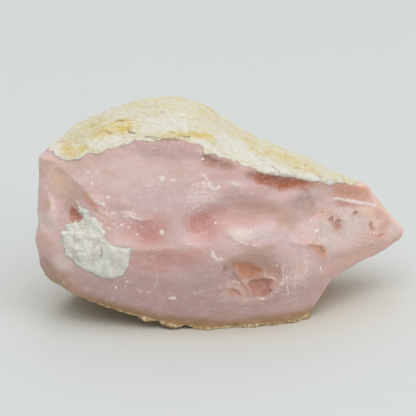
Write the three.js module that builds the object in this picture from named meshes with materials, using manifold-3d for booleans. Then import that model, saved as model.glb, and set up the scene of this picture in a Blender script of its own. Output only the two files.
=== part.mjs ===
// Rough pink opal specimen: one broken piece of an opal vein, with its pale rind on top and a thin crust
// below. Millimetres, +Z up. The stone is cut out of three blocks that share one space: the vein (rind above,
// crust below), the fractures (front and back) and the ends (left end and tip).
import * as THREE from "three";
import { mergeVertices } from "three/addons/utils/BufferGeometryUtils.js";
import Module from "manifold-3d";

const LENGTH = 76.6;
const DEPTH = 38;
const HEIGHT = 43;
const MARGIN = 6;
const VEIN_STEP = 2.1;
const FRACTURE_STEP = 1.5;
const END_STEP = 2.6;

// In every function below x runs from the left end, y from the frontmost point and z from the resting face.

// A smooth curve through [position, value] points, held flat beyond its ends.
function curve(points) {
  const from = points[0][0];
  const to = points.at(-1)[0];
  const inside = new THREE.CubicInterpolant(points.map((p) => p[0]), points.map((p) => p[1]), 1);
  return (at) => inside.evaluate(THREE.MathUtils.clamp(at, from, to))[0];
}

// A shell-shaped flake scar: how deep a hollow of that half width and half height, turned by some degrees,
// is at (a, b).
function scar({ at, half, turn = 0, depth }, a, b) {
  const angle = THREE.MathUtils.degToRad(turn);
  const along = (a - at[0]) * Math.cos(angle) + (b - at[1]) * Math.sin(angle);
  const across = (b - at[1]) * Math.cos(angle) - (a - at[0]) * Math.sin(angle);
  return Math.max(0, depth * (1 - (along / half[0]) ** 2 - (across / half[1]) ** 2));
}

// Overlapping scars meet in ridges, because the deeper one wins.
function deepest(scars, a, b) {
  return Math.max(...scars.map((one) => scar(one, a, b)));
}

// The vein's upper face: a hump near the left that falls away to the tip, rounded from front to back.
const CREST_HEIGHT = curve([[0, 34.6], [3, 35], [8, 36.7], [13, 39], [19, 40.7], [25, 41.8], [30, 41.8],
  [34, 40.5], [38, 37.8], [45, 33.9], [51, 31.5], [57, 28.9], [62, 26.6], [68, 24.4], [76, 20]]);
const CREST_DEPTH = curve([[0, 17], [30, 18], [44, 16], [52, 14.5], [62, 12], [76, 10]]);
const BEND_BEFORE_CREST = curve([[0, 0.0135], [10, 0.018], [24, 0.022], [34, 0.021], [42, 0.015],
  [52, 0.012]]);
const BEND_BEHIND_CREST = curve([[34, 0.0135], [52, 0.012], [64, 0.01]]);
function rindHeight(x, y) {
  const fromCrest = y - CREST_DEPTH(x);
  const bend = fromCrest < 0 ? BEND_BEFORE_CREST(x) : BEND_BEHIND_CREST(x);
  return CREST_HEIGHT(x) - bend * fromCrest ** 2;
}

// The vein's lower face: flat where the stone rests, rising in a long curve to the left front and in a scoop
// under the tip. Both rises start farther along the stone the nearer the front they are, by a slant.
const LEFT_RISE = curve([[3, 16], [4.8, 9.8], [7.4, 6.8], [11.5, 5.2], [18, 3.2], [24, 1.6], [30, 0.5],
  [35, 0]]);
const LEFT_RISE_SLANT = 0.62;
const LEFT_RISE_FRONT = 4;
const TIP_RISE = curve([[53, 0], [54.6, 0.3], [55.6, 1.1], [56.6, 2.7], [58, 5.1], [60, 6.8], [63, 7.6],
  [69, 8.6], [76, 11.6]]);
const TIP_RISE_SLANT = 0.1;
const TIP_RISE_FRONT = 6;
function crustHeight(x, y) {
  const left = LEFT_RISE(x + LEFT_RISE_SLANT * Math.max(0, y - LEFT_RISE_FRONT));
  const right = TIP_RISE(x - TIP_RISE_SLANT * Math.max(0, y - TIP_RISE_FRONT));
  return left + right;
}

// The front fracture: its bulge in plan and in height, how it leans back above the bulge and curves under
// below it, and the scars across it.
const FRONT_PLAN = curve([[0, 7.5], [3, 4.6], [8, 2.6], [16, 1], [26, 0], [37, 0.2], [45, 1.6], [52, 4.2],
  [56, 7.2], [60, 11.4], [68, 19], [76, 26]]);
const BULGE_HEIGHT = curve([[0, 17], [30, 18.6], [45, 18], [55, 15], [66, 13], [76, 11.6]]);
const LEAN_BACK = 0.21;
const CURVE_UNDER = 0.0066;
const FRONT_SCARS = [
  { at: [6.5, 26.7], half: [9, 3.8], turn: -52, depth: 1.6 },
  { at: [33, 22.4], half: [4, 3.8], turn: 8, depth: 1.3 },
  { at: [42, 24], half: [10, 3], turn: -6, depth: 1.9 },
  { at: [48, 29.6], half: [7.8, 2.6], turn: -16, depth: 2.3 },
  { at: [53, 22.8], half: [4.4, 5.8], depth: 1.7 },
  { at: [43, 11.4], half: [6.8, 4.8], turn: -4, depth: 2.6 },
];
function frontDepth(x, z) {
  const above = z - BULGE_HEIGHT(x);
  const profile = above > 0 ? LEAN_BACK * above : CURVE_UNDER * above ** 2;
  return FRONT_PLAN(x) + profile + deepest(FRONT_SCARS, x, z);
}

// The back fracture, hidden from the front: steeper, with larger scars.
const BACK_PLAN = curve([[0, 22], [6, 30], [14, 36], [28, 38], [44, 37], [57, 33], [66, 29.6], [76, 27]]);
const BACK_ROUNDING = 0.011;
const BACK_MIDDLE = 17;
const BACK_SCARS = [
  { at: [15, 24], half: [11, 13], turn: 20, depth: 4.2 },
  { at: [33, 12], half: [13, 10], turn: -10, depth: 3.6 },
  { at: [38, 30], half: [9, 7], turn: -30, depth: 2.6 },
  { at: [55, 16], half: [10, 7], turn: -14, depth: 3.0 },
];
function backDepth(x, z) {
  return BACK_PLAN(x) - BACK_ROUNDING * (z - BACK_MIDDLE) ** 2 - deepest(BACK_SCARS, x, z);
}

// The left end turns away to the back and is rounded in height, more below its middle than above it.
const LEFT_SLANT = 0.45;
const LEFT_CORNER_DEPTH = 9;
const LEFT_MIDDLE = 17;
const LEFT_ROUNDING_BELOW = 0.004;
const LEFT_ROUNDING_ABOVE = 0.0004;
const LEFT_SCARS = [
  { at: [20, 20], half: [9, 12], depth: 2.4 },
  { at: [10, 28], half: [8, 9], depth: 0.3 },
];
function leftEnd(y, z) {
  const rounding = z < LEFT_MIDDLE ? LEFT_ROUNDING_BELOW : LEFT_ROUNDING_ABOVE;
  const turned = LEFT_SLANT * Math.max(0, y - LEFT_CORNER_DEPTH);
  return turned + rounding * (z - LEFT_MIDDLE) ** 2 + deepest(LEFT_SCARS, y, z);
}

// The tip's end slopes down and out to the point.
const TIP_CUT = curve([[9.9, 1.2], [11.9, 0], [12.7, 1.7], [16.6, 4.7], [19.7, 7.6], [22, 8.6], [26, 9.4]]);
function tipEnd(_, z) {
  return LENGTH - TIP_CUT(z);
}

// A block whose two faces across one axis are moved to two surfaces; the other axes keep their size.
function block(axis, step, low, high) {
  const size = [LENGTH + 2 * MARGIN, DEPTH + 2 * MARGIN, HEIGHT + 2 * MARGIN];
  const pieces = size.map((side, i) => (i === axis ? 1 : Math.round(side / step)));
  const geometry = new THREE.BoxGeometry(...size, ...pieces);
  geometry.translate(LENGTH / 2, DEPTH / 2, HEIGHT / 2);
  const middle = size[axis] / 2 - MARGIN;
  const position = geometry.getAttribute("position");
  for (let i = 0; i < position.count; i += 1) {
    const at = [position.getX(i), position.getY(i), position.getZ(i)];
    const others = at.filter((_, j) => j !== axis);
    at[axis] = at[axis] < middle ? low(...others) : high(...others);
    position.setXYZ(i, ...at);
  }
  return geometry;
}

const wasm = await Module();
wasm.setup();

function toSolid(geometry) {
  const bare = geometry.clone();
  bare.deleteAttribute("normal");
  bare.deleteAttribute("uv");
  const merged = mergeVertices(bare);
  const vertProperties = merged.getAttribute("position").array;
  const triVerts = new Uint32Array(merged.getIndex().array);
  return new wasm.Manifold(new wasm.Mesh({ numProp: 3, vertProperties, triVerts }));
}

function toGeometry(solid) {
  const mesh = solid.getMesh();
  const geometry = new THREE.BufferGeometry();
  geometry.setAttribute("position", new THREE.BufferAttribute(mesh.vertProperties, 3));
  geometry.setIndex(new THREE.BufferAttribute(mesh.triVerts, 1));
  return geometry;
}

// The stone, moved so that the origin is the centre of its box's underside.
function buildStone() {
  const vein = toSolid(block(2, VEIN_STEP, crustHeight, rindHeight));
  const fractures = toSolid(block(1, FRACTURE_STEP, frontDepth, backDepth));
  const ends = toSolid(block(0, END_STEP, leftEnd, tipEnd));
  const geometry = toGeometry(vein.intersect(fractures).intersect(ends));
  geometry.computeBoundingBox();
  const { min, max } = geometry.boundingBox;
  geometry.translate(-(min.x + max.x) / 2, -(min.y + max.y) / 2, -min.z);
  geometry.computeVertexNormals();
  return geometry;
}

const opal = new THREE.MeshStandardMaterial({ color: 0xd9aaa6, roughness: 0.45, metalness: 0 });
const stone = new THREE.Mesh(buildStone(), opal);
stone.name = "opal_stone";

const specimen = new THREE.Group();
specimen.add(stone);
export default specimen;
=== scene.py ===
"""Looks of the rough opal specimen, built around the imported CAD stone."""

import math

import bpy
import numpy as np
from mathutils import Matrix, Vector, noise
from mathutils.bvhtree import BVHTree


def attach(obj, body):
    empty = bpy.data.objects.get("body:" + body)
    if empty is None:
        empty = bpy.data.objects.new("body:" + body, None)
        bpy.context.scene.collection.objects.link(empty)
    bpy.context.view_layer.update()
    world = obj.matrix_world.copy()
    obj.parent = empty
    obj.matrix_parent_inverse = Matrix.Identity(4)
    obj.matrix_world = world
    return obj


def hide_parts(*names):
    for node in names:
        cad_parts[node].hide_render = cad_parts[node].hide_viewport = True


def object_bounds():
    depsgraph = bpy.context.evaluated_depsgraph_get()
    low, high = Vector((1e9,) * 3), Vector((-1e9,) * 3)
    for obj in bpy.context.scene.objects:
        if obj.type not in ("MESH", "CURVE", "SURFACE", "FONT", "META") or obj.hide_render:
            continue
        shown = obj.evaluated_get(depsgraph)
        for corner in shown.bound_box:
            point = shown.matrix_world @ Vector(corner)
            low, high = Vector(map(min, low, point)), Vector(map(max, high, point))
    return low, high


MM = 0.001
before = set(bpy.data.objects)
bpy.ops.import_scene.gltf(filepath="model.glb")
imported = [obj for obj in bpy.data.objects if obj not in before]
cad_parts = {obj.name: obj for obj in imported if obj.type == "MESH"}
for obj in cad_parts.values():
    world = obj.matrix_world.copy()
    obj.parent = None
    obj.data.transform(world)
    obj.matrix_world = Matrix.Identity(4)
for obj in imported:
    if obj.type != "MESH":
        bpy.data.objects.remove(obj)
CAD_LOW, CAD_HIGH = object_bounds()
STONE = "opal_stone"
SIZE = np.array(CAD_HIGH - CAD_LOW) / MM

# Places on the stone are in millimetres: along (x) from its left end, deep (y) from its front and high (z)
# from where it rests. Features of the front face are placed by (along, high).


def place(along, deep, high):
    """The row frame point of a place on the stone."""
    return CAD_LOW + Vector((along, deep, high)) * MM


def srgb(red, green, blue):
    """A colour given as 0 to 255 sRGB, as the linear colour nodes take."""
    shares = np.array((red, green, blue)) / 255
    linear = np.where(shares <= 0.04045, shares / 12.92, ((shares + 0.055) / 1.055) ** 2.4)
    return (*linear.tolist(), 1.0)


# ---------------- camera, floor and light, in metres

CAMERA_ELEVATION = math.radians(20)
CAMERA_DISTANCE = 0.42
FRAME_WIDTH = 0.0836
SENSOR_MM = 36
AIM = place(34.6, 12.0, 22.2)

FLOOR_HALF = 3.0
FLOOR_COLOUR = (0.585, 0.608, 0.602, 1)
FLOOR_ROUGHNESS = 0.9
FLOOR_SPECULAR = 0.1
# The floor is warmer in an oval around the stone, from light that the stone has coloured.
WARM_COLOUR = (0.66, 0.553, 0.38, 1)
WARM_HALF = (0.062, 0.042)

# Square area lights: where, how wide, how strong and where they point.
STONE_MIDDLE = (0, 0, 0.02)
LIGHTS = [
    dict(name="key", location=(0.0, -0.45, 1.5), width=1.8, power=18.8, aim=STONE_MIDDLE),
    dict(name="fill", location=(1.1, -0.8, 0.45), width=0.6, power=3.0, aim=STONE_MIDDLE),
    dict(name="back", location=(0.0, 0.9, 1.0), width=0.8, power=2.3, aim=(0, 0.5, 0)),
]
WORLD_COLOUR = (0.82, 0.83, 0.83, 1)
WORLD_STRENGTH = 0.64


def make_camera():
    data = bpy.data.cameras.new("camera")
    data.sensor_width = SENSOR_MM
    data.lens = SENSOR_MM * CAMERA_DISTANCE / FRAME_WIDTH
    data.clip_start, data.clip_end = 0.01, 10
    camera = bpy.data.objects.new("camera", data)
    bpy.context.scene.collection.objects.link(camera)
    back = Vector((0, -math.cos(CAMERA_ELEVATION), math.sin(CAMERA_ELEVATION)))
    camera.location = AIM + back * CAMERA_DISTANCE
    camera.rotation_mode = "QUATERNION"
    camera.rotation_quaternion = (-back).to_track_quat("-Z", "Y")
    bpy.context.scene.camera = camera


def make_floor_material():
    material = bpy.data.materials.new("floor")
    material.use_nodes = True
    nodes = material.node_tree.nodes
    links = material.node_tree.links
    shader = nodes["Principled BSDF"]
    place_on = nodes.new("ShaderNodeTexCoord")
    oval_place = nodes.new("ShaderNodeMapping")
    oval_place.inputs["Scale"].default_value = (1 / WARM_HALF[0], 1 / WARM_HALF[1], 1)
    nearness = nodes.new("ShaderNodeTexGradient")
    nearness.gradient_type = "QUADRATIC_SPHERE"
    warmed = nodes.new("ShaderNodeMix")
    warmed.data_type = "RGBA"
    share, cool, warm = warmed.inputs[0], warmed.inputs[6], warmed.inputs[7]
    cool.default_value = FLOOR_COLOUR
    warm.default_value = WARM_COLOUR
    links.new(place_on.outputs["Object"], oval_place.inputs["Vector"])
    links.new(oval_place.outputs["Vector"], nearness.inputs["Vector"])
    links.new(nearness.outputs["Fac"], share)
    links.new(warmed.outputs[2], shader.inputs["Base Color"])
    shader.inputs["Roughness"].default_value = FLOOR_ROUGHNESS
    shader.inputs["Specular IOR Level"].default_value = FLOOR_SPECULAR
    return material


def make_floor():
    mesh = bpy.data.meshes.new("floor")
    corners = [(x * FLOOR_HALF, y * FLOOR_HALF, CAD_LOW.z) for x, y in ((-1, -1), (1, -1), (1, 1), (-1, 1))]
    mesh.from_pydata(corners, [], [(0, 1, 2, 3)])
    mesh.materials.append(make_floor_material())
    floor = bpy.data.objects.new("floor", mesh)
    bpy.context.scene.collection.objects.link(floor)


def make_light(name, location, width, power, aim):
    data = bpy.data.lights.new(name, "AREA")
    data.shape = "SQUARE"
    data.size = width
    data.energy = power
    light = bpy.data.objects.new(name, data)
    light.location = location
    light.rotation_mode = "QUATERNION"
    light.rotation_quaternion = (Vector(location) - Vector(aim)).to_track_quat("Z", "Y")
    bpy.context.scene.collection.objects.link(light)


def make_world():
    world = bpy.data.worlds.new("studio")
    world.use_nodes = True
    background = world.node_tree.nodes["Background"]
    background.inputs["Color"].default_value = WORLD_COLOUR
    background.inputs["Strength"].default_value = WORLD_STRENGTH
    bpy.context.scene.world = world
    bpy.context.scene.view_settings.view_transform = "Standard"


make_camera()
make_floor()
for light_settings in LIGHTS:
    make_light(**light_settings)
make_world()


# ---------------- fine mesh from the CAD stone

COARSE_VOXEL = 0.6
COARSE_ROUNDS = 4
FINE_VOXEL = 0.22
FINE_ROUNDS = 3
FINE_TRIANGLES = 194000
SMOOTHING = 0.5
PUSHING_BACK = -0.52


def with_modifier(mesh, kind, **settings):
    """The mesh after one of Blender's modifiers."""
    holder = bpy.data.objects.new("holder", mesh)
    bpy.context.scene.collection.objects.link(holder)
    modifier = holder.modifiers.new(kind, kind)
    for name, value in settings.items():
        setattr(modifier, name, value)
    evaluated = holder.evaluated_get(bpy.context.evaluated_depsgraph_get())
    result = bpy.data.meshes.new_from_object(evaluated)
    bpy.data.objects.remove(holder)
    return result


def vectors(items, name):
    """One vector per vertex as rows of an array."""
    values = np.empty(3 * len(items))
    items.foreach_get(name, values)
    return values.reshape(-1, 3)


def in_millimetres(mesh):
    """A row frame mesh's vertices as places on the stone."""
    return (vectors(mesh.vertices, "co") - np.array(CAD_LOW)) / MM


def relax(mesh, rounds):
    """Even out a mesh without shrinking it: each round smooths, then pushes back a little more."""
    edges = np.empty(2 * len(mesh.edges), dtype=int)
    mesh.edges.foreach_get("vertices", edges)
    ends = edges.reshape(-1, 2)
    one = np.concatenate((ends[:, 0], ends[:, 1]))
    other = np.concatenate((ends[:, 1], ends[:, 0]))
    count = len(mesh.vertices)
    degree = np.bincount(one, minlength=count)[:, None]
    points = vectors(mesh.vertices, "co")
    for step in (SMOOTHING, PUSHING_BACK) * rounds:
        sums = [np.bincount(one, weights=points[other, axis], minlength=count) for axis in range(3)]
        points += step * (np.stack(sums, axis=1) / degree - points)
    mesh.vertices.foreach_set("co", points.ravel())
    mesh.update()


def fine_mesh(cad):
    mesh = cad.copy()
    mesh.materials.clear()
    mesh.vertices.foreach_set("co", in_millimetres(mesh).ravel())
    for voxel, rounds in ((COARSE_VOXEL, COARSE_ROUNDS), (FINE_VOXEL, FINE_ROUNDS)):
        mesh = with_modifier(mesh, "REMESH", mode="VOXEL", voxel_size=voxel)
        relax(mesh, rounds)
    return mesh


# ---------------- the CAD stone's upper and lower sheets

# A sheet's faces point up or down by at least SHEET_LEAN of their normal. From one to the next they bend less
# than the angle of SHEET_BEND.
SHEET_LEAN = 0.35
SHEET_BEND = math.cos(math.radians(30))


def joined_faces(points, faces):
    """Each face's neighbours across its sides. Corners at the same place count as one."""
    corners = [tuple(np.round(point, 3)) for point in points]
    users = {}
    for index, face in enumerate(faces):
        for a, b in zip(face, face[1:] + face[:1]):
            users.setdefault(frozenset((corners[a], corners[b])), []).append(index)
    neighbours = [[] for _ in faces]
    for sharing in users.values():
        for one in sharing:
            neighbours[one] += [other for other in sharing if other != one]
    return neighbours


def sheet_trees(cad, way, end):
    """Search trees of the CAD stone's upper sheet (way 1) or lower sheet (way -1), and of its other faces.

    The sheet is what joins on smoothly from the highest or lowest face, up to an end along the stone.
    """
    points = in_millimetres(cad)
    faces = [tuple(face.vertices) for face in cad.polygons]
    normals = np.array([face.normal for face in cad.polygons])
    middles = np.array([points[list(face)].mean(axis=0) for face in faces])
    level = (way * normals[:, 2] > SHEET_LEAN) & (middles[:, 0] < end)
    neighbours = joined_faces(points, faces)
    start = int(np.argmax(way * middles[:, 2]))
    found = {start}
    queue = [start]
    while queue:
        one = queue.pop()
        for other in neighbours[one]:
            smooth = normals[one] @ normals[other] > SHEET_BEND
            if smooth and level[other] and other not in found:
                found.add(other)
                queue.append(other)
    vertices = [Vector(point) for point in points]
    sheet = [face for index, face in enumerate(faces) if index in found]
    others = [face for index, face in enumerate(faces) if index not in found]
    return BVHTree.FromPolygons(vertices, sheet), BVHTree.FromPolygons(vertices, others)


def sheet_depth(points, trees):
    """How far each point is inside a sheet from the sheet's edge, negative outside it."""
    rows = points.tolist()
    to_sheet, to_others = (np.array([tree.find_nearest(row)[-1] for row in rows]) for tree in trees)
    return to_others - to_sheet


# ---------------- drawing on the surface

def smooth_step(low, high, value):
    share = np.clip((value - low) / (high - low), 0, 1)
    return share * share * (3 - 2 * share)


def field(points, size, octaves, seed, squeeze=(1, 1, 1)):
    """Noise of about -1 to 1 whose lumps are about that many millimetres across."""
    rows = (points * np.array(squeeze) / size + seed).tolist()
    return np.array([noise.fractal(row, 1.0, 2.0, octaves) for row in rows])


def shells(points, size, seed):
    """Overlapping shallow shells of about that size: 0 in their middles, 1 at the ridges between them."""
    nearest = [noise.voronoi(row)[0][0] for row in (points / size + seed).tolist()]
    return np.minimum(np.array(nearest), 1) ** 2


def oval(x, z, at, half, turn=0):
    """The distance from an oval's middle, 1 on its rim."""
    angle = math.radians(turn)
    along = (x - at[0]) * math.cos(angle) + (z - at[1]) * math.sin(angle)
    across = (z - at[1]) * math.cos(angle) - (x - at[0]) * math.sin(angle)
    return np.hypot(along / half[0], across / half[1])


def line(x, z, points):
    """The distance from a line, its side (1 is left of its run) and the share of it run so far."""
    nearest = np.full(x.shape, np.inf)
    side = np.zeros(x.shape)
    share = np.zeros(x.shape)
    lengths = [math.dist(a, b) for a, b in zip(points, points[1:])]
    before = 0
    for (ax, az), (bx, bz), length in zip(points, points[1:], lengths):
        dx, dz = (bx - ax) / length, (bz - az) / length
        run = np.clip((x - ax) * dx + (z - az) * dz, 0, length)
        across = np.hypot(x - ax - run * dx, z - az - run * dz)
        closer = across < nearest
        nearest = np.where(closer, across, nearest)
        side = np.where(closer, np.sign((z - az) * dx - (x - ax) * dz), side)
        share = np.where(closer, (before + run) / sum(lengths), share)
        before += length
    return nearest, side, share


def inside(x, z, outline):
    """How far a point is inside a closed outline, negative outside it."""
    closed = [*outline, outline[0]]
    nearest = line(x, z, closed)[0]
    crossings = np.zeros(x.shape, dtype=bool)
    for (ax, az), (bx, bz) in zip(closed, closed[1:]):
        if az == bz:
            continue
        between = (z > min(az, bz)) & (z <= max(az, bz))
        crossings ^= between & (x < ax + (z - az) / (bz - az) * (bx - ax))
    return np.where(crossings, nearest, -nearest)


def stroke(x, z, run, width, fade):
    """1 in the middle of a soft line, 0 beside it, fading over a share of the line at each end."""
    away, _, share = line(x, z, run)
    return np.exp(-(away / width) ** 2) * smooth_step(0, fade, share) * smooth_step(0, fade, 1 - share)


# The rind's ragged front edge.
RIND_EDGE = [(-2, 39), (1.6, 37), (2.6, 34.8), (4.4, 34.5), (6.2, 34.1), (7.7, 34.2), (9.4, 34.7),
             (10.9, 35.8), (13.1, 35.7), (14.6, 36.7), (17.2, 37.3), (20, 37.9), (22.2, 38.5), (25.3, 38.6),
             (29.2, 38.6), (31.1, 38.2), (33.6, 37.3), (34, 36.4), (36, 36.1), (37.5, 35.4), (39.5, 34.5),
             (42.8, 33.2), (44, 32.6), (45.3, 31.6), (48.4, 30.4), (50.5, 30.1), (52.6, 29.5), (54, 29.1),
             (57, 28), (59, 26.7), (62.1, 25.6), (66.1, 24.4), (70, 21.5), (78, 16)]
RIND_END = 62.6

# The pale clay that fills a pocket low on the left.
CLAY = [(8.6, 25.8), (10, 24.8), (11.6, 23.8), (12.9, 23), (13.6, 22.2), (14.1, 21.2), (14.5, 19.6),
        (15.2, 18.4), (17, 18.2), (19.6, 18), (19.3, 16), (18.9, 14.2), (18, 12.2), (16.3, 11.1),
        (14.6, 10.9), (12.4, 11.6), (10, 12.6), (8, 13.5), (7.6, 14.6), (6.2, 15.4), (6.1, 17), (5.1, 17.8),
        (5.5, 19), (4.9, 20), (6.2, 20.9), (7, 21.6), (8, 21.7), (9.2, 22.2), (9.8, 22.9), (9.1, 24.3)]

# Hollows broken into the face: their outline, how deep, how wide their walls, and the wash they carry.
BROKEN_HOLLOWS = [
    dict(outline=[(38.9, 15.2), (40, 14.1), (42.9, 13.4), (44.6, 12.4), (45.7, 11.8), (45.7, 11),
                  (44.6, 10.5), (42.8, 10.2), (41.7, 10.4), (40.8, 11.3), (40, 12.8)], depth=0.95, wall=1.1,
         wash="apricot"),
    dict(outline=[(42.2, 9.8), (45.4, 9.9), (47.4, 9.9), (47.2, 8.5), (46.8, 7.4), (46.2, 6.7), (44.9, 6.5),
                  (43.8, 6.9), (43.2, 8.2)], depth=0.6, wall=1.2, wash="brown"),
    dict(outline=[(38.4, 8.6), (39.6, 8.7), (40.9, 8), (41.4, 7.1), (39.6, 7)], depth=0.7, wall=0.7,
         wash="tawny"),
    dict(outline=[(54.7, 16.7), (56, 16.1), (57.5, 15.4), (58.6, 13.8), (58.4, 12.1), (57.1, 13.2),
                  (55.8, 15.2)], depth=0.8, wall=0.9, wash="apricot"),
    # The next two hollows lie just under the rind's edge: their washes are partly the stone's own colour and
    # partly painted shadow of its overhang.
    dict(outline=[(43.6, 31.2), (46, 31.6), (49, 30.3), (52.6, 29.4), (56.5, 28.2), (53, 28.1),
                  (49.8, 27.9), (46.6, 28.7), (44, 30.1)], depth=0.6, wall=1.3, wash="rust"),
    dict(outline=[(33.8, 36.2), (35.6, 35.9), (37.3, 35.2), (40.7, 33.9), (38.5, 33.3), (36, 33.5),
                  (33.6, 34.4)], depth=0.5, wall=0.9, wash="mocha"),
    dict(outline=[(7.6, 24.9), (8.5, 24.4), (9.9, 22.8), (9.2, 21.9), (7.8, 21.7), (7.1, 23)], depth=0.5,
         wall=0.8, wash="rust"),
]

# Shallow rounded hollows and, with a negative depth, swellings: where, half width and half height, turned by
# how many degrees and how deep.
HOLLOWS = [
    ((43.4, 10.8), (7.4, 5.6), 0, 0.3),
    ((21.6, 21.4), (6.4, 3.6), 0, 0.35),
    ((33, 22.9), (4.4, 4.2), 0, 0.35),
    ((26, 14.6), (9, 3.2), 0, 0.35),
    ((44.5, 24.6), (8.6, 3.2), -14, 0.35),
    ((53.6, 23.6), (3.4, 4.2), 10, 0.5),
    ((39.9, 30.3), (1.6, 0.8), -22, -0.4),
    ((44.4, 20.2), (5.6, 2), -8, -0.2),
    ((2.2, 20.3), (2.4, 1.3), 0, 0.3),
    ((2.4, 16.6), (2.8, 2.8), 0, -0.3),
    ((60.9, 18.1), (1.2, 1.7), 18, 0.9),
    ((59.4, 19.7), (0.5, 0.9), 35, 0.6),
    ((64.7, 18.9), (0.75, 0.55), -10, 0.55),
    ((57.6, 21.7), (0.6, 0.5), -10, 0.35),
    ((56.7, 20.8), (0.4, 0.6), 0, 0.3),
    ((55.7, 21.5), (0.5, 0.4), 0, 0.3),
    ((65, 17.6), (0.55, 0.6), 0, 0.3),
    ((68.4, 15.2), (0.55, 1.3), 40, 0.6),
    ((70.6, 12.7), (1, 0.4), 10, 0.5),
    ((67.9, 13.5), (0.6, 0.5), 0, 0.25),
    ((69.3, 12.1), (0.5, 0.3), 0, 0.3),
    ((37.9, 13.2), (0.7, 0.8), 0, 0.5),
    ((46.9, 7.7), (0.4, 0.5), 0, 0.6),
]

# The pale vein that crosses the tip.
TIP_VEIN = [(59, 23.9), (60.8, 23.4), (62.6, 22.5), (64.3, 21.5), (66.1, 20.6), (67.8, 20), (70.6, 18.5)]

# Ridges across the face and, with a negative height, grooves: their run, how wide and how high.
RIDGES = [
    ([(3.3, 30.2), (4, 32.2), (5.4, 32.9), (7.5, 31.4), (9.8, 29.7), (12, 27.1), (13.6, 25.8),
      (14.8, 23.6)], 0.9, 0.22),
    ([(1.8, 31.5), (2.2, 29.8), (3.4, 26.2), (3.9, 24.4), (3.4, 21.6)], 0.6, 0.12),
    ([(12, 18.6), (15, 18.1), (19.3, 17.7), (22, 17.5), (26.3, 17.8), (28, 18.2), (31.2, 18.8), (35, 18.9)],
     1.0, 0.22),
    ([(34, 27.2), (37.5, 28), (42.8, 28.2), (46, 27.7), (48.8, 26.8), (51, 25)], 1.3, 0.15),
    ([(38, 22.3), (38.6, 21.3), (40.5, 19.5), (41.9, 18.6), (43.5, 18.2), (46, 18.1), (49, 18.3)], 0.9, 0.25),
    ([(50, 21), (50.5, 19.8), (51.9, 17.8), (53.7, 17.2), (54.9, 16.7), (57.5, 15.7), (60, 14.6)], 0.8, 0.45),
    ([(59, 12.9), (60.5, 12.6), (63.6, 12.4), (67.9, 12.1), (72, 11.4)], 1.2, 0.35),
    ([(40, 13), (41, 11.2), (42, 9.8), (43, 7.9), (43.8, 6.4)], 0.6, 0.7),
    ([(42, 10), (44, 10.1), (46, 10.2), (48.3, 9.9)], 0.3, 0.3),
    ([(37.7, 14.4), (37, 12), (37, 9.8), (37.8, 8.3)], 0.7, 0.35),
    ([(49.4, 13.4), (49.7, 10.6), (49.3, 8.4), (48, 6.8)], 0.5, 0.3),
    (TIP_VEIN, 0.4, 0.12),
    ([(60.6, 22.6), (62.6, 21.6), (65.4, 20.2), (68, 19)], 0.6, -0.2),
    ([(17.5, 24), (19.3, 24.2), (22.1, 23.4), (24.4, 23.9)], 0.4, 0.2),
    ([(31.1, 25.4), (30.8, 23.4), (30.9, 21)], 0.6, 0.3),
    ([(11.4, 27.4), (14, 26.6), (17, 26.6), (20, 26)], 0.8, 0.2),
    ([(52.8, 14.8), (54, 13.6), (54.4, 10.8), (53.4, 9.6), (52, 9.1)], 0.4, 0.18),
]

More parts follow.
